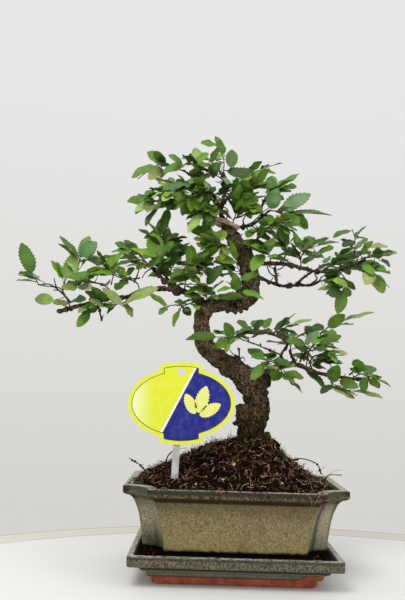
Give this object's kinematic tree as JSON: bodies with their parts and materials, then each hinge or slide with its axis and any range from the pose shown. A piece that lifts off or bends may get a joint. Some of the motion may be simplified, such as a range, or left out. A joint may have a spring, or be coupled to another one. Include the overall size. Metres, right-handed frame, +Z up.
{
  "type": "bonsai tree",
  "caption": "Zelkova bonsai with a twisting trunk in a glazed rectangular pot on its drip tray, with a plain plant label on a stake.",
  "frame": {"origin": "centre of the drip tray's flat underside, on the surface that it stands on", "axes": "+Z up, +X along the pot's long side towards the viewer's right, +Y from the front to the back"},
  "size_m": [0.36, 0.1554, 0.4258],
  "materials": {
    "leaf": "semi-gloss leaf green, paler below",
    "bark": "rough flaking bark",
    "soil": "dark fibrous peaty soil",
    "pot_glaze": "speckled olive glaze over an unglazed clay foot",
    "tray_glaze": "speckled grey-green glaze over an unglazed clay foot",
    "label_print": "glossy printed plastic",
    "label_stake": "milky translucent plastic"
  },
  "bodies": {
    "root": {"label_plate": "label_print", "label_stake": "label_stake", "pot": "pot_glaze", "soil": "soil", "spray_back_crown_left": "leaf", "spray_back_crown_right": "leaf", "spray_back_left": "leaf", "spray_back_low": "leaf", "spray_back_middle": "leaf", "spray_back_right": "leaf", "spray_back_top": "leaf", "spray_bend_front": "leaf", "spray_bend_left": "leaf", "spray_bend_low": "leaf", "spray_crown_far_left": "leaf", "spray_crown_far_right": "leaf", "spray_crown_front": "leaf", "spray_crown_heart": "leaf", "spray_crown_left": "leaf", "spray_crown_low_left": "leaf", "spray_crown_mid_right": "leaf", "spray_crown_right": "leaf", "spray_crown_right_top": "leaf", "spray_crown_top": "leaf", "spray_crown_top_left": "leaf", "spray_left_high": "leaf", "spray_left_high_tip": "leaf", "spray_left_inner": "leaf", "spray_left_low": "leaf", "spray_left_mid": "leaf", "spray_left_riser": "leaf", "spray_left_shoulder": "leaf", "spray_left_tip": "leaf", "spray_low_back": "leaf", "spray_low_dark": "leaf", "spray_low_far": "leaf", "spray_low_front": "leaf", "spray_low_hang": "leaf", "spray_low_inner": "leaf", "spray_low_mid": "leaf", "spray_low_right": "leaf", "spray_low_tip": "leaf", "spray_low_top": "leaf", "spray_right_hang": "leaf", "spray_right_heart": "leaf", "spray_right_inner": "leaf", "spray_right_mid": "leaf", "spray_right_rise": "leaf", "spray_right_tip": "leaf", "spray_right_tip_low": "leaf", "spray_right_top": "leaf", "spray_right_under": "leaf", "spray_right_up": "leaf", "spray_trunk_left": "leaf", "spray_trunk_right": "leaf", "tray": "tray_glaze", "trunk": "bark"}
  },
  "joints": []
}
